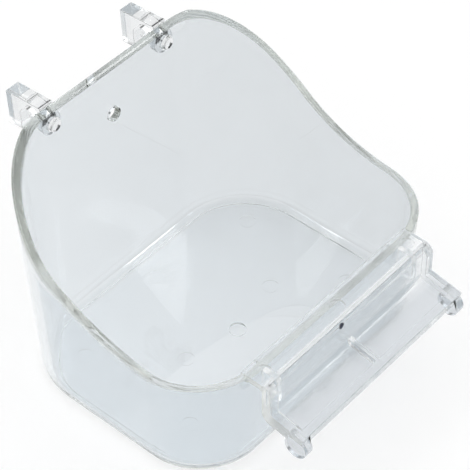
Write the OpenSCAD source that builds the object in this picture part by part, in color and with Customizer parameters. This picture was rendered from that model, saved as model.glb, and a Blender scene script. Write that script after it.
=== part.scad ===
// Hanging bath for a bird cage: a clear moulded tub with a tall back, two swivelling wire hooks
// and a perch ledge that clips over the low front wall.
// Millimetres, +Z up, origin under the middle of the foot, back wall towards +Y.

/* [Tub] */
// Outside width at the foot
base_w = 122; // [112:1:136]
// Outside depth at the foot
base_d = 93; // [86:1:108]
// Height of the back rim
back_h = 91; // [84:0.5:100]
// Height of the front rim
front_h = 44.5; // [40:0.5:48]
// Thickness of the walls
wall = 2.8; // [2.2:0.1:3.4]
// Thickness of the floor
floor_t = 2.8; // [2.2:0.1:3.5]
// Draft of the walls in degrees
draft_deg = 2.6; // [1.5:0.1:3.5]
// Radius of the back corners at the foot
back_corner_r = 31; // [24:1:34]
// Radius of the front corners at the foot
front_corner_r = 24; // [18:1:26]
// Rounding outside, round the foot
foot_r = 4.7; // [3.6:0.1:5]
// Rounding inside, round the floor
inner_r = 1.9; // [1.2:0.1:3]
// Width of the foot ring under the floor, from the foot's outline
ring_w = 5.3; // [5.2:0.1:9]
// Height of the panel inside the foot ring above the ground
panel_rise = 0.4; // [0.2:0.1:0.8]

/* [Rim] */
// Level land on the back rim, from its outer edge
rim_land = 0.8; // [0.4:0.1:2]
// Steepness of the falling side rims in degrees
fall_deg = 46; // [42:1:50]
// Radius where the side rims level out
hollow_r = 77; // [62:1:82]
// Radius where the side rims start to fall
crest_r = 2; // [1:0.5:4]
// Rise of the low side rims towards the front in degrees
rise_deg = 2; // [0.5:0.5:3]

/* [Back wall holes] */
// Diameter of the hanging hole in the middle
hang_hole_d = 5; // [4:0.5:6]
// Depth of the hanging hole's centre below the back rim
hang_hole_drop = 20; // [16:0.5:26]

/* [Floor] */
// Diameter of the gate well under the floor
gate_d = 6.2; // [4:0.2:8]
// Depth of the gate well
gate_depth = 0.8; // [0.4:0.1:1.2]
// Distance of the gate well in front of the middle
gate_front = 7; // [0:1:12]

/* [Hooks] */
// Spacing of the two hooks
hook_spacing = 54.4; // [44:0.2:58]
// Width of a hook
hook_w = 5.8; // [5:0.2:8]
// Reach of a hook behind the wall
hook_reach = 15.8; // [14:0.2:20]
// Height of the outer leg, from the top of the arm
hook_h = 13.6; // [12:0.2:18]
// Height of the arm's top above the peg's centre
hook_top = 7; // [6:0.1:7.4]
// Depth of the peg's centre below the back rim
hook_drop = 6.2; // [5.6:0.2:9]
// Thickness of the arm over the wire slot
arm_t = 3.7; // [3:0.1:4.4]
// Width of the wire slot
slot_w = 7.6; // [6:0.2:8.4]
// Diameter of the round foot against the wall
hook_foot_d = 9; // [8:0.2:10]
// Thickness of the round foot
hook_foot_t = 2.4; // [1.8:0.1:3]
// Diameter of the peg
peg_d = 5; // [4:0.1:5.6]
// Radial clearance of the peg in its hole
peg_play = 0.05; // [0.03:0.01:0.1]
// Gap of the foot and of the snap bead to the wall
peg_end_play = 0.05; // [0.03:0.01:0.15]
// Height of the snap bead round the peg's inner end
bead_rise = 0.5; // [0.3:0.1:0.8]
// Length of the snap bead
bead_len = 1.2; // [0.8:0.1:2]

/* [Perch ledge] */
// Length of the ledge
ledge_len = 84; // [76:1:88]
// Thickness of the bent section
ledge_t = 2.4; // [2:0.1:3]
// Reach of the web's outer face in front of the wall
web_reach = 7.2; // [6.6:0.1:8.4]
// Outer radius of the top bend
top_bend_r = 3.6; // [3.2:0.1:6]
// Outer radius of the lower bend
low_bend_r = 4; // [3.4:0.1:5]
// Depth of the shelf's border below the front rim, at the web
shelf_drop = 11.4; // [10.6:0.2:14]
// Length of the shelf in front of the web
shelf_len = 14.4; // [12:0.2:18]
// Slope of the shelf down to the front in degrees
shelf_tilt = 11; // [4:1:14]
// Depth of the two pockets in the shelf
pocket_depth = 2.4; // [1.6:0.1:3]
// Width of the border along the front
front_border = 3.2; // [2.4:0.1:4]
// Width of the border at each end
end_border = 3.6; // [3:0.1:5]
// Height of the frame at each end above the web's outer face
end_rise = 1.8; // [1:0.1:2.2]
// Thickness of the rib between the pockets
rib_t = 2; // [1.6:0.1:3]
// Radius of the round lug at each front corner
lug_r = 4.3; // [3.6:0.1:5]
// Distance of a lug's centre back from the shelf's front edge
lug_back = 2.9; // [2:0.1:4]
// Depth of a lug's centre below the shelf's border
lug_drop = 6; // [5:0.1:7]
// Thickness of the lip inside the wall
lip_t = 1; // [0.8:0.1:1.6]
// Depth of the lip inside the wall
lip_h = 5; // [4:0.5:7]
// Distance of the lip's ends from the front corners
lip_end_gap = 3; // [2:0.5:6]
// Spacing of the two ribs that bear on the wall
bearing_spacing = 70; // [56:1:71]
// Clearance of the lip and the bearing ribs to the wall
ledge_play = 0.15; // [0.1:0.01:0.3]
// Clearance at each end of the notch
notch_play = 0.2; // [0.1:0.05:0.4]
// Diameter of the pin mark on the top bend
pin_mark_d = 1.8; // [1.2:0.1:2.4]
// Depth of the pin mark
pin_mark_depth = 1.2; // [0.6:0.1:1.5]
// Distance of the pin mark left of the middle
pin_mark_left = 4.5; // [2:0.5:8]
// Turn of the pin mark down from the top of the bend in degrees
pin_mark_turn = 70; // [50:5:80]

/* [Hidden] */
$fn = 96;
// Overshoot of cutting shapes
over = 1;

// Walls lean out by this much for each millimetre of height
slope = tan(draft_deg);
lean = sqrt(1 + slope * slope);
half_w = base_w / 2;
half_d = base_d / 2;
clear = "aliceblue";

// Plan: middles of the corner rounds
back_cx = half_w - back_corner_r;
front_cx = half_w - front_corner_r;
back_cy = half_d - back_corner_r;
front_cy = front_corner_r - half_d;

// Outer faces of the back and front walls at their rims
back_y = half_d + back_h * slope;
front_y = -half_d - front_h * slope;

// Side view of the rim: level land, falling line, low line, with arcs between them
crest_run = crest_r * tan(fall_deg / 2);
fall_y = back_y - rim_land - crest_run;
fall_t = tan(fall_deg);
rise_t = tan(rise_deg);
low_y = (front_h + front_y * rise_t - back_h + fall_y * fall_t) / (fall_t + rise_t);
low_z = back_h + (low_y - fall_y) * fall_t;
hollow_run = hollow_r * tan((fall_deg + rise_deg) / 2);
hollow_cy = low_y - hollow_run * cos(rise_deg) + hollow_r * sin(rise_deg);
hollow_cz = low_z + hollow_run * sin(rise_deg) + hollow_r * cos(rise_deg);
hollow_steps = 28;
crest_steps = 8;

function on_arc(cy, cz, r, a0, a1, steps) =
    [for (i = [0 : steps]) let (a = a0 + (a1 - a0) * i / steps) [cy + r * cos(a), cz + r * sin(a)]];

function low_rim_z(y) = front_h - (y - front_y) * rise_t;

// Hook, measured from the peg's centre on the wall's outer face
peg_r = peg_d / 2;
peg_hole_r = peg_r + peg_play;
wall_through = wall / lean;
bead_r = peg_r + bead_rise;
slot_r = slot_w / 2;
slot_mid = hook_foot_t + slot_r;
slot_top = hook_top - arm_t;

// Ledge section, as distance in front of the wall's outer face at the rim, and height
web_in = web_reach - ledge_t;
top_bend_x = web_reach - top_bend_r;
top_bend_z = front_h - top_bend_r;
seat_z = front_h - ledge_t;
low_bend_in = low_bend_r - ledge_t;
low_bend_x = web_reach + low_bend_in;
// Pocket floors meet the web this far below the border
floor_drop = shelf_drop + pocket_depth / cos(shelf_tilt);
low_bend_z = front_h - floor_drop - low_bend_in * tan(shelf_tilt) + low_bend_in / cos(shelf_tilt);
shelf_run = (shelf_len - low_bend_in) / cos(shelf_tilt);
lip_in = -wall - ledge_play - lip_t;
lip_len = 2 * (front_cx - lip_end_gap);

// Solid half section of the tub: a drafted wall at the given reach, rounded into a level foot
module wall_half(reach, foot_z, round_r) {
    foot_x = reach + foot_z * slope;
    mid_x = foot_x + round_r * slope - round_r * lean;
    touch = [mid_x + round_r / lean, foot_z + round_r - round_r * slope / lean];
    top_z = back_h + over;
    polygon([[0, foot_z], [mid_x, foot_z], touch, [reach + top_z * slope, top_z], [0, top_z]]);
    translate([mid_x, foot_z + round_r])
        circle(r = round_r);
}

// Wall and floor in section, from the middle of a corner round outwards
module wall_section(reach) {
    difference() {
        wall_half(reach, 0, foot_r);
        intersection() {
            wall_half(reach - wall, floor_t, inner_r);
            translate([-over, floor_t])
                square([reach + back_h, back_h + over]);
        }
        translate([-over, -over])
            square([reach - ring_w + over, panel_rise + over]);
    }
}

module corner(x, y, r, turn) {
    translate([x, y, 0])
        rotate(turn)
            rotate_extrude(angle = 90)
                wall_section(r);
}

// Straight wall with its strip of floor, pointing along +X before it is turned
module straight(x, y, r, turn, run) {
    translate([x, y, 0])
        rotate(turn)
            rotate([90, 0, 0])
                linear_extrude(run)
                    wall_section(r);
}

module blank() {
    corner(back_cx, back_cy, back_corner_r, 0);
    corner(-back_cx, back_cy, back_corner_r, 90);
    corner(-front_cx, front_cy, front_corner_r, 180);
    corner(front_cx, front_cy, front_corner_r, 270);
    side_run = back_cy - front_cy;
    straight(back_cx, back_cy, back_corner_r, 0, side_run);
    straight(-back_cx, front_cy, back_corner_r, 180, side_run);
    straight(-back_cx, back_cy, back_corner_r, 90, 2 * back_cx);
    straight(front_cx, front_cy, front_corner_r, 270, 2 * front_cx);
    translate([-back_cx, front_cy, panel_rise])
        cube([2 * back_cx, side_run, floor_t - panel_rise]);
}

// Everything above the rim, seen from the side
module above_rim() {
    far = half_d + back_h;
    top = 2 * back_h;
    outline = concat(
        [[far, back_h]],
        on_arc(fall_y + crest_run, back_h - crest_r, crest_r, 90, 90 + fall_deg, crest_steps),
        on_arc(hollow_cy, hollow_cz, hollow_r, fall_deg - 90, -90 - rise_deg, hollow_steps),
        [[-far, low_rim_z(-far)], [-far, top], [far, top]]
    );
    rotate([90, 0, 90])
        linear_extrude(2 * base_w, center = true)
            polygon(outline);
}

// Places children on the outer face of the back wall, with +Y square out of the wall
module on_back_wall(x, drop) {
    z = back_h - drop;
    translate([x, half_d + z * slope, z])
        rotate([-draft_deg, 0, 0])
            children();
}

module wall_bore(r) {
    rotate([90, 0, 0])
        cylinder(r = r, h = 4 * wall, center = true);
}

module ledge_notch() {
    notch_len = ledge_len + 2 * notch_play;
    translate([-notch_len / 2, front_y - wall, seat_z])
        cube([notch_len, 4 * wall, back_h]);
}

module tub() {
    color(clear)
        difference() {
            blank();
            above_rim();
            ledge_notch();
            on_back_wall(0, hang_hole_drop)
                wall_bore(hang_hole_d / 2);
            for (side = [-1, 1])
                on_back_wall(side * hook_spacing / 2, hook_drop)
                    wall_bore(peg_hole_r);
            translate([0, -gate_front, -over])
                cylinder(d = gate_d, h = panel_rise + gate_depth + over);
        }
}

// Peg through the wall, with a snap bead that holds it from inside
module peg() {
    rotate([90, 0, 0]) {
        cylinder(r = peg_r, h = wall_through + peg_end_play);
        translate([0, 0, wall_through + peg_end_play])
            cylinder(r1 = bead_r, r2 = peg_r - bead_rise, h = bead_len);
    }
}

module hook_arm() {
    difference() {
        translate([-hook_w / 2, 0, hook_top - hook_h])
            cube([hook_w, hook_reach - peg_end_play, hook_h]);
        translate([-hook_w, slot_mid, slot_top - slot_r])
            rotate([0, 90, 0])
                cylinder(r = slot_r, h = 2 * hook_w);
        translate([-hook_w, hook_foot_t, slot_top - slot_r - hook_h])
            cube([2 * hook_w, slot_w, hook_h]);
        translate([-hook_w, -over, -hook_h])
            cube([2 * hook_w, hook_foot_t + 2 * over, hook_h]);
    }
}

module hook(side) {
    color(clear)
        on_back_wall(side * hook_spacing / 2, hook_drop)
            translate([0, peg_end_play, 0]) {
                hook_arm();
                rotate([-90, 0, 0])
                    cylinder(d = hook_foot_d, h = hook_foot_t);
                peg();
            }
}

module hook_left() {
    hook(-1);
}

module hook_right() {
    hook(1);
}

// Part of a ring between two angles, for a bend in the ledge's section
module bend(x, z, r_out, r_in, a0, a1) {
    far = 2 * r_out;
    translate([x, z])
        intersection() {
            difference() {
                circle(r = r_out);
                circle(r = r_in);
            }
            polygon([
                [0, 0],
                [far * cos(a0), far * sin(a0)],
                [far * cos((a0 + a1) / 2), far * sin((a0 + a1) / 2)],
                [far * cos(a1), far * sin(a1)]
            ]);
        }
}

// Places children along the sloping shelf: first axis out from the web, second square to the shelf
module on_shelf() {
    translate([low_bend_x, low_bend_z])
        rotate(-shelf_tilt)
            translate([0, -low_bend_in])
                children();
}

// Upright web between the two bends, from the same two heights as they have
module web_section() {
    polygon([[web_in, low_bend_z], [web_reach, low_bend_z], [web_reach, top_bend_z], [web_in, top_bend_z]]);
}

// Bent sheet: plate over the wall, bend, web, bend, shelf
module ledge_section() {
    translate([lip_in, seat_z])
        square([top_bend_x - lip_in, ledge_t]);
    bend(top_bend_x, top_bend_z, top_bend_r, top_bend_r - ledge_t, 0, 90);
    web_section();
    bend(low_bend_x, low_bend_z, low_bend_r, low_bend_in, 180, 270 - shelf_tilt);
    on_shelf()
        translate([0, -ledge_t])
            square([shelf_run, ledge_t]);
}

// Border round the pockets, from the web to the front edge
module border_section() {
    intersection() {
        on_shelf()
            translate([-low_bend_r, -ledge_t / 2])
                square([shelf_run + low_bend_r, pocket_depth + ledge_t / 2]);
        translate([web_reach - ledge_t / 2, 0])
            square([2 * shelf_len, front_h]);
    }
}

// Frame at an end, over the top bend and the web
module end_section() {
    translate([top_bend_x, seat_z])
        square([end_rise, ledge_t]);
    translate([end_rise, 0]) {
        bend(top_bend_x, top_bend_z, top_bend_r, top_bend_r - ledge_t, 0, 90);
        web_section();
    }
}

module front_border_section() {
    on_shelf()
        translate([shelf_run - front_border, -ledge_t / 2])
            square([front_border, pocket_depth + ledge_t / 2]);
}

// Round lug under a front corner of the shelf
module lug_section() {
    translate([
        web_reach + shelf_len - lug_back,
        front_h - shelf_drop - (shelf_len - lug_back) * tan(shelf_tilt) - lug_drop
    ])
        circle(r = lug_r);
}

// Lip that hangs inside the front wall, along its slope
module lip_section() {
    low_z = seat_z - lip_h;
    shift = (front_h - low_z) * slope;
    polygon([
        [lip_in, front_h - ledge_t / 2],
        [lip_in + lip_t, front_h - ledge_t / 2],
        [lip_in + lip_t - shift, low_z],
        [lip_in - shift, low_z]
    ]);
}

// Rib behind the web that bears on the outside of the front wall
module bearing_section() {
    shift = (front_h - low_bend_z) * slope;
    top_shift = ledge_t * slope;
    polygon([
        [ledge_play - top_shift, seat_z],
        [ledge_play - top_shift, seat_z + ledge_t / 2],
        [top_bend_x, seat_z + ledge_t / 2],
        [web_in + ledge_t / 2, top_bend_z],
        [web_in + ledge_t / 2, low_bend_z],
        [ledge_play - shift, low_bend_z]
    ]);
}

// Extrudes a ledge section over a stretch of the ledge's length, from its middle
module along_ledge(from, to) {
    translate([0, front_y, 0])
        rotate([90, 0, -90])
            translate([0, 0, -to])
                linear_extrude(to - from)
                    children();
}

module ledge_end(side) {
    end = side * ledge_len / 2;
    inner = end - side * end_border;
    along_ledge(min(end, inner), max(end, inner)) {
        end_section();
        border_section();
        lug_section();
    }
}

module pin_mark() {
    reach = top_bend_r - pin_mark_depth;
    translate([-pin_mark_left, front_y - top_bend_x, top_bend_z])
        rotate([pin_mark_turn, 0, 0])
            translate([0, 0, reach])
                cylinder(d = pin_mark_d, h = top_bend_r);
}

module front_ledge() {
    color(clear)
        difference() {
            union() {
                along_ledge(-ledge_len / 2, ledge_len / 2) {
                    ledge_section();
                    front_border_section();
                }
                along_ledge(-lip_len / 2, lip_len / 2)
                    lip_section();
                along_ledge(-rib_t / 2, rib_t / 2)
                    border_section();
                for (side = [-1, 1]) {
                    ledge_end(side);
                    bearing_x = side * bearing_spacing / 2;
                    along_ledge(bearing_x - rib_t / 2, bearing_x + rib_t / 2)
                        bearing_section();
                }
            }
            pin_mark();
        }
}

tub();
hook_left();
hook_right();
front_ledge();
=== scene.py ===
"""Clear hanging bath for a bird cage: a moulded tub, two swivelling wire hooks and a clip-on perch ledge.

Sizes are in millimetres, as in the solids, and become metres where a mesh is made.
"""
import math

import bmesh
import bpy
from mathutils import Matrix, Vector


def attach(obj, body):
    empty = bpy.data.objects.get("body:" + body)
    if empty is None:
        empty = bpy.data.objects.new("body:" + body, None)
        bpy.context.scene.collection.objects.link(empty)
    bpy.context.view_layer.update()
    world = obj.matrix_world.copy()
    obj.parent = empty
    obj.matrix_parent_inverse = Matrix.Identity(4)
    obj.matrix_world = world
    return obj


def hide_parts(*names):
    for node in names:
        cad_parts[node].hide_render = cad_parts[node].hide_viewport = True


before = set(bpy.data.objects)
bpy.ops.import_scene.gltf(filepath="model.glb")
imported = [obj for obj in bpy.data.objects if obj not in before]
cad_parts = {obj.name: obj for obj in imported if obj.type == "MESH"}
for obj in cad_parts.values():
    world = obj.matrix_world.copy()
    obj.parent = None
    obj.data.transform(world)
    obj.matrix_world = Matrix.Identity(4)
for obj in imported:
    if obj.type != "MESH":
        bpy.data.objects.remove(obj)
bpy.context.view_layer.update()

MM = 0.001

# Tub
BASE_W = 122
BASE_D = 93
BACK_H = 91
FRONT_H = 44.5
WALL = 2.8
FLOOR_T = 2.8
DRAFT = math.radians(2.6)
BACK_CORNER_R = 31
FRONT_CORNER_R = 24
FOOT_R = 4.7
INNER_R = 1.9
RIM_EDGE_R = 0.45
# Foot ring round the raised panel under the floor, with a soft step
RING_W = 5.3
PANEL_RISE = 0.4
STEP_RUN = 0.3
STEP_R = 0.2

# Side view of the rim
RIM_LAND = 0.8
FALL = math.radians(46)
RISE = math.radians(2)
HOLLOW_R = 77
CREST_R = 2

# Holes in the back wall
HANG_HOLE_R = 2.5
HANG_HOLE_DROP = 20
PEG_HOLE_R = 2.55
PEG_DROP = 6.2
HOOK_SPACING = 54.4
HOLE_CHAMFER = 0.25

# Moulding marks
GATE_R = 3.1
GATE_DEPTH = 0.8
GATE_FRONT = 7
FLOOR_PIN_R = 3
FLOOR_PIN_DEPTH = 0.12
FLOOR_PINS = [(0, 31), (-42, 24.5), (42, 24.5), (-22.5, -3), (22.5, -3), (-42, -22), (42, -22)]

# Perch ledge
LEDGE_LEN = 84
LEDGE_T = 2.4
NOTCH_PLAY = 0.2
SEAT_GAP = 0.05
LEDGE_EDGE_R = 0.2
WEB_REACH = 7.2
TOP_BEND_R = 3.6
# The crease lies a little inside the web's face, which slants out from it
CREASE_R = 0.35
CREASE_INSET = 0.7
CREASE_SLANT = 1.6
END_BORDER = 3.6
DOT_X = -4.9
DOT_DROP = 1.9
DOT_R = 0.9
DOT_DEPTH = 1
PLATE_PIN_R = 2.6
PLATE_PIN_DEPTH = 0.45
PLATE_PIN_REACH = 1.4
PLATE_PINS = [-36.8, 0, 36.8]

# Hooks
HOOK_EDGE_R = 0.3

# Steps on each kind of curve
CORNER_STEPS = 40
FILLET_STEPS = 12
EDGE_STEPS = 5
WALL_STEPS = 10
RIM_STEPS = 8
TURNED_STEPS = 48
PIN_STEPS = 40
BEVEL_STEPS = 3

# Making of the meshes
# Rounds until the rim's height and the leaning wall agree
RIM_ROUNDS = 40
# The faces beside a rounded edge are followed this far
EDGE_REACH = 5
# Points on the rim keep this far from its rounded edges
RIM_POINT_GAP = 0.1
# A cutter runs this far past the face that it opens
CUT_PAST = 1
# The bar that makes the crease reaches this far past the bend
CREASE_OVERLAP = 0.6
# Points nearer than this, in metres, are one
WELD_DISTANCE = 2e-6
# Faces within the first angle are one flat face, and edges over the others stay sharp or are rounded
FLAT_ANGLE = math.radians(0.6)
SMOOTH_ANGLE = math.radians(30)
EDGE_ANGLE = math.radians(40)
FLAT_WEIGHT = 100

# Clear styrene: how it bends light, what its depth takes from the light, and its moulded waviness
STYRENE_IOR = 1.57
DEPTH_COLOUR = (0.8, 0.82, 0.74)
DEPTH_DENSITY = 4
WAVE_HEIGHT = 0.02
WAVE_DETAIL = 1
# Handling marks, and the part of their noise that shows
WEAR_SIZE = 160
WEAR_DETAIL = 6
WEAR_SHOWN = (0.35, 0.75)
STREAK_DETAIL = 2
# Near-black painted shade in the ledge's pin mark, which fades out over a narrow edge
HOLE_SHADE_COLOUR = (0.005, 0.006, 0.012)
HOLE_SHADE_R = 1.15
HOLE_SHADE_FADE = 1.2

# White table top, whose paint and glow add up to white
FLOOR_HALF = 3000
FLOOR_TOP = -0.2
FLOOR_BOTTOM = -10
FLOOR_PAINT = 0.45
FLOOR_GLOW = 0.55

# Light runs far along the inside of a clear wall before it leaves it
LIGHT_BOUNCES = 64

# Studio: sine of the height above the table's edge, and how bright it is there
STUDIO_STOPS = [(0, 1), (0.2, 1), (0.26, 0.2), (0.55, 0.2), (0.62, 1.27), (1, 1.27)]
# Two soft lamps in metres: the direction to each from the object, and the direction of its long side
LAMPS = {
    "lamp_front": (Vector((0.528, -0.359, 0.769)), Vector((0, -0.906, -0.423))),
    "lamp_side": (Vector((-0.323, 0.463, 0.825)), Vector((-0.931, 0, -0.365))),
}
LAMP_DISTANCE = 1.1
LAMP_AIM = Vector((0, 0, 0.03))
LAMP_SIZE = (0.47, 0.07)
LAMP_POWER = 0.525

# Camera, fitted to the photograph's outlines
VIEW_AZIMUTH = math.radians(-48.768)
VIEW_ELEVATION = math.radians(45.363)
VIEW_ROLL = math.radians(-0.616)
VIEW_DISTANCE = 663.109
VIEW_TARGET = Vector((1.66, -4.75, 45.93))
VIEW_LENS = 151.91
VIEW_SENSOR = 36
VIEW_NEAR = 0.01

SLOPE = math.tan(DRAFT)
LEAN = math.hypot(1, SLOPE)
HALF_W = BASE_W / 2
HALF_D = BASE_D / 2
BACK_Y = HALF_D + BACK_H * SLOPE
FRONT_Y = -HALF_D - FRONT_H * SLOPE


def metres(*point):
    return Vector(point) * MM


def new_object(name, data):
    obj = bpy.data.objects.new(name, data)
    bpy.context.scene.collection.objects.link(obj)
    return obj


def mesh_of(name, points, faces):
    mesh = bpy.data.meshes.new(name)
    mesh.from_pydata([metres(*p) for p in points], [], faces)
    mesh.validate()
    return mesh


def applied(obj):
    """Turns the object's modifiers into its plain mesh."""
    graph = bpy.context.evaluated_depsgraph_get()
    mesh = bpy.data.meshes.new_from_object(obj.evaluated_get(graph))
    obj.modifiers.clear()
    obj.data = mesh
    return obj


def smooth(obj, angle=SMOOTH_ANGLE):
    mesh = obj.data
    mesh.polygons.foreach_set("use_smooth", [True] * len(mesh.polygons))
    mesh.set_sharp_from_angle(angle=angle)
    return obj


# Rim

CREST_RUN = CREST_R * math.tan(FALL / 2)
FALL_Y = BACK_Y - RIM_LAND - CREST_RUN
LOW_Y = (
    (FRONT_H + FRONT_Y * math.tan(RISE) - BACK_H + FALL_Y * math.tan(FALL))
    / (math.tan(FALL) + math.tan(RISE))
)
LOW_Z = BACK_H + (LOW_Y - FALL_Y) * math.tan(FALL)
HOLLOW_RUN = HOLLOW_R * math.tan((FALL + RISE) / 2)
HOLLOW_Y = LOW_Y - HOLLOW_RUN * math.cos(RISE) + HOLLOW_R * math.sin(RISE)
HOLLOW_Z = LOW_Z + HOLLOW_RUN * math.sin(RISE) + HOLLOW_R * math.cos(RISE)
CREST_Y = FALL_Y + CREST_RUN
CREST_Z = BACK_H - CREST_R


def rim_height(y):
    """Height of the rim, seen from the side: low line, hollow, falling line, crest, level land."""
    if y > CREST_Y:
        return BACK_H
    if y > CREST_Y - CREST_R * math.sin(FALL):
        return CREST_Z + math.sqrt(CREST_R ** 2 - (y - CREST_Y) ** 2)
    if y > HOLLOW_Y + HOLLOW_R * math.sin(FALL):
        return BACK_H + (y - FALL_Y) * math.tan(FALL)
    if y > HOLLOW_Y - HOLLOW_R * math.sin(RISE):
        return HOLLOW_Z - math.sqrt(HOLLOW_R ** 2 - (y - HOLLOW_Y) ** 2)
    return FRONT_H - (y - FRONT_Y) * math.tan(RISE)


# Tub

def foot_outline():
    """Places round the foot with their outward normals, counter-clockwise from the right side."""
    back_x = HALF_W - BACK_CORNER_R
    back_y = HALF_D - BACK_CORNER_R
    front_x = HALF_W - FRONT_CORNER_R
    front_y = FRONT_CORNER_R - HALF_D
    # Middle, radius and first angle of each corner, and the steps on the straight after it
    corners = [
        (back_x, back_y, BACK_CORNER_R, 0, 24),
        (-back_x, back_y, BACK_CORNER_R, 90, 24),
        (-front_x, front_y, FRONT_CORNER_R, 180, 28),
        (front_x, front_y, FRONT_CORNER_R, 270, 24),
    ]
    bends = []
    for cx, cy, r, start, _ in corners:
        bend = []
        for i in range(CORNER_STEPS + 1):
            a = math.radians(start + 90 * i / CORNER_STEPS)
            normal = Vector((math.cos(a), math.sin(a)))
            bend.append((Vector((cx, cy)) + normal * r, normal))
        bends.append(bend)
    outline = []
    for k, bend in enumerate(bends):
        outline += bend
        here, normal = bend[-1]
        there = bends[(k + 1) % len(bends)][0][0]
        run = corners[k][-1]
        # The straight, without its two ends
        outline += [(here.lerp(there, i / run), normal) for i in range(1, run)]
    return outline


def rim_at(place, normal, inset):
    """Height of the rim at this place, this far inside the wall's outer face."""
    z = FRONT_H
    for _ in range(RIM_ROUNDS):
        z = rim_height(place.y + normal.y * (z * SLOPE - inset))
    return z


def arc(cx, cz, r, start, end, steps):
    angles = [start + (end - start) * i / steps for i in range(steps + 1)]
    return [(cx + r * math.cos(a), cz + r * math.sin(a)) for a in angles]


def rounded_corner(corner, before, after, r, steps):
    """Arc that rounds a corner of a section, between the points before and after it."""
    corner = Vector(corner)
    a = (Vector(before) - corner).normalized()
    b = (Vector(after) - corner).normalized()
    half = a.angle(b) / 2
    centre = corner + (a + b).normalized() * (r / math.sin(half))
    first = corner + a * (r / math.tan(half)) - centre
    turn = first.angle_signed(corner + b * (r / math.tan(half)) - centre)
    start = math.atan2(first.y, first.x)
    return arc(centre.x, centre.y, r, start, start - turn, steps)


def between(start, end, steps):
    """Points that part a line into even steps, without its two ends."""
    return [Vector(start).lerp(Vector(end), i / steps) for i in range(1, steps)]


def wall_section(place, normal):
    """Section through the wall at this place, as distance out from the foot's outline and height.

    It runs from the underside round the foot, up the outer face, over the rim and down to the floor."""
    foot_mid = FOOT_R * SLOPE - FOOT_R * LEAN
    panel_edge = (-RING_W - STEP_RUN, PANEL_RISE)
    ring_edge = (-RING_W, 0)
    step = rounded_corner(panel_edge, (-2 * RING_W, PANEL_RISE), ring_edge, STEP_R, EDGE_STEPS)
    step += rounded_corner(ring_edge, panel_edge, (0, 0), STEP_R, EDGE_STEPS)
    foot = step + arc(foot_mid, FOOT_R, FOOT_R, -math.pi / 2, -DRAFT, FILLET_STEPS)
    inner_mid = -WALL + (FLOOR_T + INNER_R) * SLOPE - INNER_R * LEAN
    fillet = arc(inner_mid, FLOOR_T + INNER_R, INNER_R, -DRAFT, -math.pi / 2, FILLET_STEPS)
    insets = [WALL * i / RIM_STEPS for i in range(RIM_STEPS + 1)]
    heights = [rim_at(place, normal, inset) for inset in insets]
    top = [(z * SLOPE - inset, z) for z, inset in zip(heights, insets)]
    down = Vector((-SLOPE, -1)) * EDGE_REACH
    outer_edge = rounded_corner(top[0], Vector(top[0]) + down, top[1], RIM_EDGE_R, EDGE_STEPS)
    inner_edge = rounded_corner(top[-1], top[-2], Vector(top[-1]) + down, RIM_EDGE_R, EDGE_STEPS)
    nearest = inner_edge[0][0] + RIM_POINT_GAP
    farthest = outer_edge[-1][0] - RIM_POINT_GAP
    kept = [p for p in top[1:-1] if nearest < p[0] < farthest]
    outer = between(foot[-1], outer_edge[0], WALL_STEPS)
    inner = between(inner_edge[-1], fillet[0], WALL_STEPS)
    # Each section has as many points, so those that a round edge took are put back before the first kept one
    missing = RIM_STEPS - 1 - len(kept)
    kept = between(outer_edge[-1], kept[0], missing + 1) + kept
    return [tuple(p) for p in foot + outer + outer_edge + kept + inner_edge + inner + fillet]


def tub_blank():
    """Closed shell of the tub, before its holes are cut."""
    points = []
    sections = [(place, normal, wall_section(place, normal)) for place, normal in foot_outline()]
    for place, normal, section in sections:
        for out, z in section:
            points.append((place.x + normal.x * out, place.y + normal.y * out, z))
    rows = len(sections[0][2])
    count = len(sections)
    faces = []
    for s in range(count):
        here = s * rows
        there = (s + 1) % count * rows
        faces += [(here + t, there + t, there + t + 1, here + t + 1) for t in range(rows - 1)]
    faces.append([s * rows for s in reversed(range(count))])
    faces.append([s * rows + rows - 1 for s in range(count)])
    return new_object("tub_shell", mesh_of("tub_shell", points, faces))


def turned(name, profile, place, axis):
    """Closed turned solid, from radius and distance along its axis.

    Its first and last points lie on the axis."""
    points = [(0, 0, profile[0][1])]
    angles = [math.tau * i / TURNED_STEPS for i in range(TURNED_STEPS)]
    for r, h in profile[1:-1]:
        points += [(r * math.cos(a), r * math.sin(a), h) for a in angles]
    points.append((0, 0, profile[-1][1]))
    rings = len(profile) - 2
    last = 1 + (rings - 1) * TURNED_STEPS
    faces = []
    for i in range(TURNED_STEPS):
        j = (i + 1) % TURNED_STEPS
        faces.append((0, 1 + j, 1 + i))
        for k in range(rings - 1):
            low = 1 + k * TURNED_STEPS
            high = low + TURNED_STEPS
            faces.append((low + i, low + j, high + j, high + i))
        faces.append((last + i, last + j, len(points) - 1))
    obj = new_object(name, mesh_of(name, points, faces))
    turn = Vector(axis).to_track_quat("Z", "Y").to_matrix().to_4x4()
    obj.data.transform(Matrix.Translation(metres(*place)) @ turn)
    return obj


def block(name, low, high):
    xs, ys, zs = zip(low, high)
    points = [(x, y, z) for x in xs for y in ys for z in zs]
    faces = [(0, 1, 3, 2), (4, 6, 7, 5), (0, 4, 5, 1), (2, 3, 7, 6), (0, 2, 6, 4), (1, 5, 7, 3)]
    return new_object(name, mesh_of(name, points, faces))


def combine(obj, others, operation):
    for other in others:
        modifier = obj.modifiers.new(other.name, "BOOLEAN")
        modifier.operation = operation
        modifier.solver = "EXACT"
        modifier.object = other
    applied(obj)
    for other in others:
        bpy.data.objects.remove(other)
    return obj


def cut(obj, cutters):
    return combine(obj, cutters, "DIFFERENCE")


WALL_OUT = Vector((0, math.cos(DRAFT), -math.sin(DRAFT)))


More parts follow.
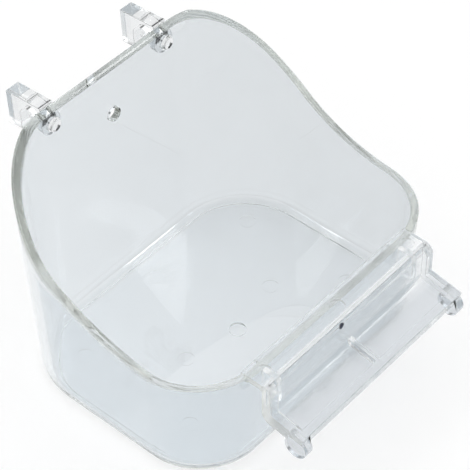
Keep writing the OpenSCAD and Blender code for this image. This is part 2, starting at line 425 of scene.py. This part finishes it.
def wall_hole(name, x, drop, r, chamfer):
    """Cutter for a hole square through the back wall, with a small chamfer at both faces."""
    through = WALL / LEAN
    z = BACK_H - drop
    profile = [
        (0, -through - CUT_PAST),
        (r + chamfer, -through - CUT_PAST),
        (r + chamfer, -through),
        (r, chamfer - through),
        (r, -chamfer),
        (r + chamfer, 0),
        (r + chamfer, CUT_PAST),
        (0, CUT_PAST),
    ]
    return turned(name, profile, (x, HALF_D + z * SLOPE, z), WALL_OUT)


def drill(name, r, depth, place, axis):
    """Cutter for a plain round hole with a flat end."""
    return turned(name, [(0, -CUT_PAST), (r, -CUT_PAST), (r, depth), (0, depth)], place, axis)


def pin_marks(name, places, z, r, depth, material):
    """Cutters for the shallow round marks that ejector pins leave, one at each place, by geometry nodes."""
    tree = bpy.data.node_groups.new(name, "GeometryNodeTree")
    tree.interface.new_socket("Geometry", in_out="INPUT", socket_type="NodeSocketGeometry")
    sizes = {"Radius": r * MM, "Depth": depth * MM}
    sockets = {}
    for label in sizes:
        sockets[label] = tree.interface.new_socket(label, in_out="INPUT", socket_type="NodeSocketFloat")
    tree.interface.new_socket("Geometry", in_out="OUTPUT", socket_type="NodeSocketGeometry")
    nodes = tree.nodes
    links = tree.links
    group_in = nodes.new("NodeGroupInput")
    group_out = nodes.new("NodeGroupOutput")
    disc = nodes.new("GeometryNodeMeshCylinder")
    disc.inputs["Vertices"].default_value = PIN_STEPS
    # Half of each disc stands above the face, so it is twice as tall as the mark is deep
    double = nodes.new("ShaderNodeMath")
    double.operation = "MULTIPLY"
    double.inputs[1].default_value = 2
    scatter = nodes.new("GeometryNodeInstanceOnPoints")
    realize = nodes.new("GeometryNodeRealizeInstances")
    finish = nodes.new("GeometryNodeSetMaterial")
    finish.inputs["Material"].default_value = material
    links.new(group_in.outputs["Radius"], disc.inputs["Radius"])
    links.new(group_in.outputs["Depth"], double.inputs[0])
    links.new(double.outputs[0], disc.inputs["Depth"])
    links.new(group_in.outputs["Geometry"], scatter.inputs["Points"])
    links.new(disc.outputs["Mesh"], scatter.inputs["Instance"])
    links.new(scatter.outputs["Instances"], realize.inputs["Geometry"])
    links.new(realize.outputs["Geometry"], finish.inputs["Geometry"])
    links.new(finish.outputs["Geometry"], group_out.inputs["Geometry"])
    obj = new_object(name, mesh_of(name, [(x, y, z) for x, y in places], []))
    modifier = obj.modifiers.new(name, "NODES")
    modifier.node_group = tree
    for label, value in sizes.items():
        modifier[sockets[label].identifier] = value
    return applied(obj)


def make_tub():
    tub = tub_blank()
    notch = LEDGE_LEN / 2 + NOTCH_PLAY
    seat = FRONT_H - LEDGE_T - SEAT_GAP
    cutters = [
        wall_hole("hang_hole", 0, HANG_HOLE_DROP, HANG_HOLE_R, HOLE_CHAMFER),
        wall_hole("peg_hole_left", -HOOK_SPACING / 2, PEG_DROP, PEG_HOLE_R, HOLE_CHAMFER / 2),
        wall_hole("peg_hole_right", HOOK_SPACING / 2, PEG_DROP, PEG_HOLE_R, HOLE_CHAMFER / 2),
        drill("gate", GATE_R, PANEL_RISE + GATE_DEPTH, (0, -GATE_FRONT, 0), (0, 0, 1)),
        block("ledge_notch", (-notch, FRONT_Y - WALL, seat), (notch, FRONT_Y + 3 * WALL, BACK_H)),
        pin_marks("floor_pins", FLOOR_PINS, FLOOR_T, FLOOR_PIN_R, FLOOR_PIN_DEPTH, tub_plastic),
    ]
    return smooth(cut(tub, cutters))


# Hooks and ledge

def solid_copy(name, node):
    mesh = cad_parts[node].data.copy()
    mesh.name = name
    mesh.materials.clear()
    return welded(new_object(name, mesh))


def welded(obj, join_flats=False):
    bm = bmesh.new()
    bm.from_mesh(obj.data)
    bmesh.ops.remove_doubles(bm, verts=bm.verts, dist=WELD_DISTANCE)
    if join_flats:
        bmesh.ops.dissolve_limit(bm, angle_limit=FLAT_ANGLE, verts=bm.verts, edges=bm.edges)
    bm.to_mesh(obj.data)
    bm.free()
    return obj


def softened(obj, edge_r):
    """Joins the object's flat faces and rounds its edges."""
    welded(obj, join_flats=True)
    bevel = obj.modifiers.new("edges", "BEVEL")
    bevel.width = edge_r * MM
    bevel.segments = BEVEL_STEPS
    bevel.limit_method = "ANGLE"
    bevel.angle_limit = EDGE_ANGLE
    bevel.use_clamp_overlap = False
    return applied(obj)


def even_flats(obj):
    """Shades the rounded edges smoothly and keeps the flat faces even."""
    smooth(obj, EDGE_ANGLE)
    weighted = obj.modifiers.new("flats", "WEIGHTED_NORMAL")
    weighted.keep_sharp = True
    weighted.weight = FLAT_WEIGHT
    return applied(obj)


def crease():
    """Bar that tightens the top bend between the end frames, from the flat plate to the upright web."""
    web_in = WEB_REACH - LEDGE_T
    # It reaches a little way past the bend, into the plate and the web
    reach = TOP_BEND_R + CREASE_OVERLAP
    bend_start = WEB_REACH - reach
    bend_end = FRONT_H - reach
    under = FRONT_H - LEDGE_T
    slant_end = (WEB_REACH, FRONT_H - CREASE_SLANT)
    plate_end = (bend_start, FRONT_H)
    corner = (WEB_REACH - CREASE_INSET, FRONT_H)
    section = [
        (bend_start, under),
        (web_in, under),
        (web_in, bend_end),
        (WEB_REACH, bend_end),
        slant_end,
        *rounded_corner(corner, slant_end, plate_end, CREASE_R, EDGE_STEPS),
        plate_end,
    ]
    half = LEDGE_LEN / 2 - END_BORDER / 2
    count = len(section)
    points = [(x, FRONT_Y - out, z) for x in (-half, half) for out, z in section]
    faces = [(i, i + count, (i + 1) % count + count, (i + 1) % count) for i in range(count)]
    faces += [tuple(range(count)), tuple(reversed(range(count, 2 * count)))]
    return new_object("crease", mesh_of("crease", points, faces))


def make_ledge():
    ledge = solid_copy("perch_ledge", "front_ledge")
    combine(ledge, [crease()], "UNION")
    places = [(x, FRONT_Y - PLATE_PIN_REACH) for x in PLATE_PINS]
    cut(ledge, [
        drill("dot", DOT_R, DOT_DEPTH, (DOT_X, FRONT_Y - WEB_REACH, FRONT_H - DOT_DROP), (0, 1, 0)),
        pin_marks("plate_pins", places, FRONT_H, PLATE_PIN_R, PLATE_PIN_DEPTH, ledge_plastic),
    ])
    softened(ledge, LEDGE_EDGE_R)
    # The rounding rises a little where an end frame leaves the plate, so it is kept level with the plate
    for vertex in ledge.data.vertices:
        vertex.co.z = min(vertex.co.z, FRONT_H * MM)
    return even_flats(ledge)


def make_hook(side):
    return even_flats(softened(solid_copy("wire_hook_" + side, "hook_" + side), HOOK_EDGE_R))


# Finishes

def flow_group():
    """Faint waviness of a moulded face and its fine handling marks."""
    tree = bpy.data.node_groups.new("moulded_flow", "ShaderNodeTree")
    face = tree.interface
    for label in ("Wave Size", "Scratch Size", "Least Roughness", "Most Roughness"):
        face.new_socket(label, in_out="INPUT", socket_type="NodeSocketFloat")
    face.new_socket("Height", in_out="OUTPUT", socket_type="NodeSocketFloat")
    face.new_socket("Roughness", in_out="OUTPUT", socket_type="NodeSocketFloat")
    nodes = tree.nodes
    links = tree.links
    group_in = nodes.new("NodeGroupInput")
    group_out = nodes.new("NodeGroupOutput")
    place = nodes.new("ShaderNodeTexCoord")
    wave = nodes.new("ShaderNodeTexNoise")
    wave.inputs["Detail"].default_value = WAVE_DETAIL
    links.new(place.outputs["Object"], wave.inputs["Vector"])
    links.new(group_in.outputs["Wave Size"], wave.inputs["Scale"])
    wear = nodes.new("ShaderNodeTexNoise")
    wear.inputs["Detail"].default_value = WEAR_DETAIL
    links.new(place.outputs["Object"], wear.inputs["Vector"])
    links.new(group_in.outputs["Scratch Size"], wear.inputs["Scale"])
    spread = nodes.new("ShaderNodeMapRange")
    spread.inputs["From Min"].default_value = WEAR_SHOWN[0]
    spread.inputs["From Max"].default_value = WEAR_SHOWN[1]
    links.new(wear.outputs["Fac"], spread.inputs["Value"])
    links.new(group_in.outputs["Least Roughness"], spread.inputs["To Min"])
    links.new(group_in.outputs["Most Roughness"], spread.inputs["To Max"])
    links.new(wave.outputs["Fac"], group_out.inputs["Height"])
    links.new(spread.outputs["Result"], group_out.inputs["Roughness"])
    return tree


def tone_group():
    """How deep the tint is at a place: it deepens along a run as painted shade, and faint flow lines from
    moulding cross it.
    """
    tree = bpy.data.node_groups.new("painted_shade_and_flow_tone", "ShaderNodeTree")
    face = tree.interface
    for label in ("Start", "Run", "Streak Stretch"):
        face.new_socket(label, in_out="INPUT", socket_type="NodeSocketVector")
    face.new_socket("Streak Share", in_out="INPUT", socket_type="NodeSocketFloat")
    face.new_socket("Depth", in_out="OUTPUT", socket_type="NodeSocketFloat")
    nodes = tree.nodes
    links = tree.links
    group_in = nodes.new("NodeGroupInput")
    group_out = nodes.new("NodeGroupOutput")
    place = nodes.new("ShaderNodeTexCoord")
    # Painted shade: the tint deepens with the distance along the run from its start
    apart = nodes.new("ShaderNodeVectorMath")
    apart.operation = "SUBTRACT"
    links.new(place.outputs["Object"], apart.inputs[0])
    links.new(group_in.outputs["Start"], apart.inputs[1])
    along = nodes.new("ShaderNodeVectorMath")
    along.operation = "DOT_PRODUCT"
    links.new(apart.outputs["Vector"], along.inputs[0])
    links.new(group_in.outputs["Run"], along.inputs[1])
    stretched = nodes.new("ShaderNodeVectorMath")
    stretched.operation = "MULTIPLY"
    links.new(place.outputs["Object"], stretched.inputs[0])
    links.new(group_in.outputs["Streak Stretch"], stretched.inputs[1])
    streak = nodes.new("ShaderNodeTexNoise")
    streak.inputs["Scale"].default_value = 1
    streak.inputs["Detail"].default_value = STREAK_DETAIL
    links.new(stretched.outputs["Vector"], streak.inputs["Vector"])
    # The noise lies about a half, so the streaks both deepen the tone and lift it
    evened = nodes.new("ShaderNodeMath")
    evened.operation = "SUBTRACT"
    evened.inputs[1].default_value = 0.5
    links.new(streak.outputs["Fac"], evened.inputs[0])
    total = nodes.new("ShaderNodeMath")
    total.operation = "MULTIPLY_ADD"
    links.new(evened.outputs["Value"], total.inputs[0])
    links.new(group_in.outputs["Streak Share"], total.inputs[1])
    links.new(along.outputs["Value"], total.inputs[2])
    links.new(total.outputs["Value"], group_out.inputs["Depth"])
    return tree


FLOW = flow_group()
TONE = tone_group()


def toned(nodes, links, pale, deep, start, run, stretch, share):
    """The plastic's tint, from its pale tone at the start of a run to its deep tone at the end; the deepening
    is painted shade.
    """
    tone = nodes.new("ShaderNodeGroup")
    tone.node_tree = TONE
    tone.inputs["Start"].default_value = metres(*start)
    tone.inputs["Run"].default_value = run
    tone.inputs["Streak Stretch"].default_value = stretch
    tone.inputs["Streak Share"].default_value = share
    colour = nodes.new("ShaderNodeMix")
    colour.data_type = "RGBA"
    colour.inputs["A"].default_value = (*pale, 1)
    colour.inputs["B"].default_value = (*deep, 1)
    links.new(tone.outputs["Depth"], colour.inputs["Factor"])
    return colour.outputs["Result"]


def painted_hole_shade(nodes, links, tint, place):
    """The plastic's tint, with a near-black painted shade at this place, where a small hole is."""
    coords = nodes.new("ShaderNodeTexCoord")
    apart = nodes.new("ShaderNodeVectorMath")
    apart.operation = "DISTANCE"
    apart.inputs[1].default_value = metres(*place)
    links.new(coords.outputs["Object"], apart.inputs[0])
    edge = nodes.new("ShaderNodeMapRange")
    edge.interpolation_type = "SMOOTHSTEP"
    edge.inputs["From Min"].default_value = HOLE_SHADE_R * MM
    edge.inputs["From Max"].default_value = HOLE_SHADE_FADE * HOLE_SHADE_R * MM
    links.new(apart.outputs["Value"], edge.inputs["Value"])
    colour = nodes.new("ShaderNodeMix")
    colour.data_type = "RGBA"
    colour.inputs["A"].default_value = (*HOLE_SHADE_COLOUR, 1)
    links.new(tint, colour.inputs["B"])
    links.new(edge.outputs["Result"], colour.inputs["Factor"])
    return colour.outputs["Result"]


def fresh_nodes(owner):
    """Emptied nodes and links of a material or a world."""
    owner.use_nodes = True
    owner.node_tree.nodes.clear()
    return owner.node_tree.nodes, owner.node_tree.links


def clear_plastic(name, tone, wave_size, roughness, shade_place=None):
    """Clear styrene: sight through it, a faint tint that deepens along a wall as painted shade, and moulded
    waviness.
    """
    material = bpy.data.materials.new(name)
    nodes, links = fresh_nodes(material)
    out = nodes.new("ShaderNodeOutputMaterial")
    body = nodes.new("ShaderNodeBsdfPrincipled")
    tint = toned(nodes, links, **tone)
    # Near-black painted shade at one place, in the ledge's small hole
    if shade_place:
        tint = painted_hole_shade(nodes, links, tint, shade_place)
    links.new(tint, body.inputs["Base Color"])
    body.inputs["Transmission Weight"].default_value = 1
    body.inputs["IOR"].default_value = STYRENE_IOR
    flow = nodes.new("ShaderNodeGroup")
    flow.node_tree = FLOW
    flow.inputs["Wave Size"].default_value = wave_size
    flow.inputs["Scratch Size"].default_value = WEAR_SIZE
    flow.inputs["Least Roughness"].default_value = roughness[0]
    flow.inputs["Most Roughness"].default_value = roughness[1]
    bump = nodes.new("ShaderNodeBump")
    bump.inputs["Strength"].default_value = 1
    bump.inputs["Distance"].default_value = WAVE_HEIGHT * MM
    links.new(flow.outputs["Height"], bump.inputs["Height"])
    links.new(flow.outputs["Roughness"], body.inputs["Roughness"])
    links.new(bump.outputs["Normal"], body.inputs["Normal"])
    links.new(body.outputs["BSDF"], out.inputs["Surface"])
    inside = nodes.new("ShaderNodeVolumeAbsorption")
    inside.inputs["Color"].default_value = (*DEPTH_COLOUR, 1)
    inside.inputs["Density"].default_value = DEPTH_DENSITY
    links.new(inside.outputs["Volume"], out.inputs["Volume"])
    return material


def dress(obj, material, node):
    obj.data.materials.clear()
    obj.data.materials.append(material)
    obj.data.polygons.foreach_set("material_index", [0] * len(obj.data.polygons))
    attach(obj, node)
    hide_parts(node)


# Each tint runs from pale to deep, and the deepening is painted shade: where it starts, how fast it deepens
# per metre along each axis, how often the flow lines change per metre along each axis, and their share in it
# Painted shade: the tub's tint deepens towards its right side and a little higher up the walls, with faint
# flow lines across it
TUB_TONE = {
    "pale": (0.823, 0.857, 0.881),
    "deep": (0.726, 0.756, 0.777),
    "start": (-62, 0, 0),
    "run": (7.36, 0, 1.95),
    "stretch": (40, 25, 25),
    "share": 0.2,
}
# Painted shade: the hooks' tint deepens towards their back ends
HOOK_TONE = {
    "pale": (0.88, 0.89, 0.9),
    "deep": (0.8, 0.815, 0.825),
    "start": (0, 50, BACK_H),
    "run": (0, 50, 0),
    "stretch": (90, 90, 90),
    "share": 0.5,
}
# Painted shade: the ledge's tint is pale on the web and deepens quickly out over the shelf, with strong
# streaks of flow lines
LEDGE_TONE = {
    "pale": (0.93, 0.945, 0.955),
    "deep": (0.7, 0.73, 0.76),
    "start": (0, FRONT_Y - WEB_REACH + 1, 0),
    "run": (0, -200, 0),
    "stretch": (15, 900, 500),
    "share": 0.8,
}
# Where the near-black painted shade sits: halfway down the small hole in the web
HOLE_SHADE_PLACE = (DOT_X, FRONT_Y - WEB_REACH + DOT_DEPTH / 2, FRONT_H - DOT_DROP)

tub_plastic = clear_plastic("clear_tub", TUB_TONE, wave_size=40, roughness=(0, 0.03))
hook_plastic = clear_plastic("clear_hook", HOOK_TONE, wave_size=90, roughness=(0, 0.04))
ledge_plastic = clear_plastic("clear_ledge", LEDGE_TONE, wave_size=60, roughness=(0.1, 0.22), shade_place=HOLE_SHADE_PLACE)

dress(make_tub(), tub_plastic, "tub")
for side in ("left", "right"):
    dress(make_hook(side), hook_plastic, "hook_" + side)
dress(make_ledge(), ledge_plastic, "front_ledge")


# Stage

def grey(level):
    return (level, level, level, 1)


def pale_floor():
    """White table top that takes the object's shadow.

    Its glow lifts it to white for the eye, in mirror images and through the plastic."""
    floor = block("floor", (-FLOOR_HALF, -FLOOR_HALF, FLOOR_BOTTOM), (FLOOR_HALF, FLOOR_HALF, FLOOR_TOP))
    material = bpy.data.materials.new("floor_white")
    nodes, links = fresh_nodes(material)
    out = nodes.new("ShaderNodeOutputMaterial")
    paint = nodes.new("ShaderNodeBsdfDiffuse")
    paint.inputs["Color"].default_value = grey(FLOOR_PAINT)
    glow = nodes.new("ShaderNodeEmission")
    glow.inputs["Color"].default_value = grey(FLOOR_GLOW)
    both = nodes.new("ShaderNodeAddShader")
    choice = nodes.new("ShaderNodeMixShader")
    links.new(paint.outputs["BSDF"], both.inputs[0])
    links.new(glow.outputs["Emission"], both.inputs[1])
    links.new(seen(nodes, links), choice.inputs["Fac"])
    links.new(paint.outputs["BSDF"], choice.inputs[1])
    links.new(both.outputs["Shader"], choice.inputs[2])
    links.new(choice.outputs["Shader"], out.inputs["Surface"])
    floor.data.materials.append(material)


def seen(nodes, links):
    """1 for the camera's rays and for those that the plastic mirrors or lets through."""
    path = nodes.new("ShaderNodeLightPath")
    mirrored = nodes.new("ShaderNodeMath")
    mirrored.operation = "MAXIMUM"
    links.new(path.outputs["Is Camera Ray"], mirrored.inputs[0])
    links.new(path.outputs["Is Glossy Ray"], mirrored.inputs[1])
    through = nodes.new("ShaderNodeMath")
    through.operation = "MAXIMUM"
    links.new(mirrored.outputs["Value"], through.inputs[0])
    links.new(path.outputs["Is Transmission Ray"], through.inputs[1])
    return through.outputs["Value"]


def studio_world():
    """Plain studio: white low down, a dim room at eye height and a wide soft light overhead."""
    world = bpy.data.worlds.new("studio")
    bpy.context.scene.world = world
    nodes, links = fresh_nodes(world)
    out = nodes.new("ShaderNodeOutputWorld")
    place = nodes.new("ShaderNodeTexCoord")
    split = nodes.new("ShaderNodeSeparateXYZ")
    links.new(place.outputs["Generated"], split.inputs["Vector"])
    ramp = nodes.new("ShaderNodeValToRGB")
    links.new(split.outputs["Z"], ramp.inputs["Fac"])
    stops = ramp.color_ramp.elements
    while len(stops) < len(STUDIO_STOPS):
        stops.new(1)
    for stop, (height, level) in zip(stops, STUDIO_STOPS):
        stop.position = height
        stop.color = grey(level)
    studio = nodes.new("ShaderNodeBackground")
    links.new(ramp.outputs["Color"], studio.inputs["Color"])
    links.new(studio.outputs["Background"], out.inputs["Surface"])


def soft_lamp(name, towards, axis):
    """Long soft lamp, whose mirror image draws the bright lines along rounded edges."""
    data = bpy.data.lights.new(name, "AREA")
    data.shape = "RECTANGLE"
    data.size, data.size_y = LAMP_SIZE
    data.energy = LAMP_POWER
    lamp = new_object(name, data)
    back = towards.normalized()
    side = back.cross(axis).normalized()
    turn = Matrix((side.cross(back), side, back)).transposed()
    lamp.matrix_world = Matrix.Translation(LAMP_AIM + back * LAMP_DISTANCE) @ turn.to_4x4()


def photo_camera():
    data = bpy.data.cameras.new("camera")
    data.lens = VIEW_LENS
    data.sensor_width = VIEW_SENSOR
    data.clip_start = VIEW_NEAR
    camera = new_object("camera", data)
    back = Vector((
        math.sin(VIEW_AZIMUTH) * math.cos(VIEW_ELEVATION),
        -math.cos(VIEW_AZIMUTH) * math.cos(VIEW_ELEVATION),
        math.sin(VIEW_ELEVATION),
    ))
    right = (-back).cross(Vector((0, 0, 1))).normalized()
    up = back.cross(right)
    roll = Matrix.Rotation(VIEW_ROLL, 3, back)
    turn = Matrix((roll @ right, roll @ up, back)).transposed()
    place = (VIEW_TARGET + back * VIEW_DISTANCE) * MM
    camera.matrix_world = Matrix.Translation(place) @ turn.to_4x4()
    bpy.context.scene.camera = camera


pale_floor()
studio_world()
for lamp_name, lamp_setting in LAMPS.items():
    soft_lamp(lamp_name, *lamp_setting)
photo_camera()
bpy.context.scene.view_settings.view_transform = "Standard"
paths = bpy.context.scene.cycles
paths.max_bounces = LIGHT_BOUNCES
paths.glossy_bounces = LIGHT_BOUNCES
paths.transmission_bounces = LIGHT_BOUNCES
paths.blur_glossy = 0
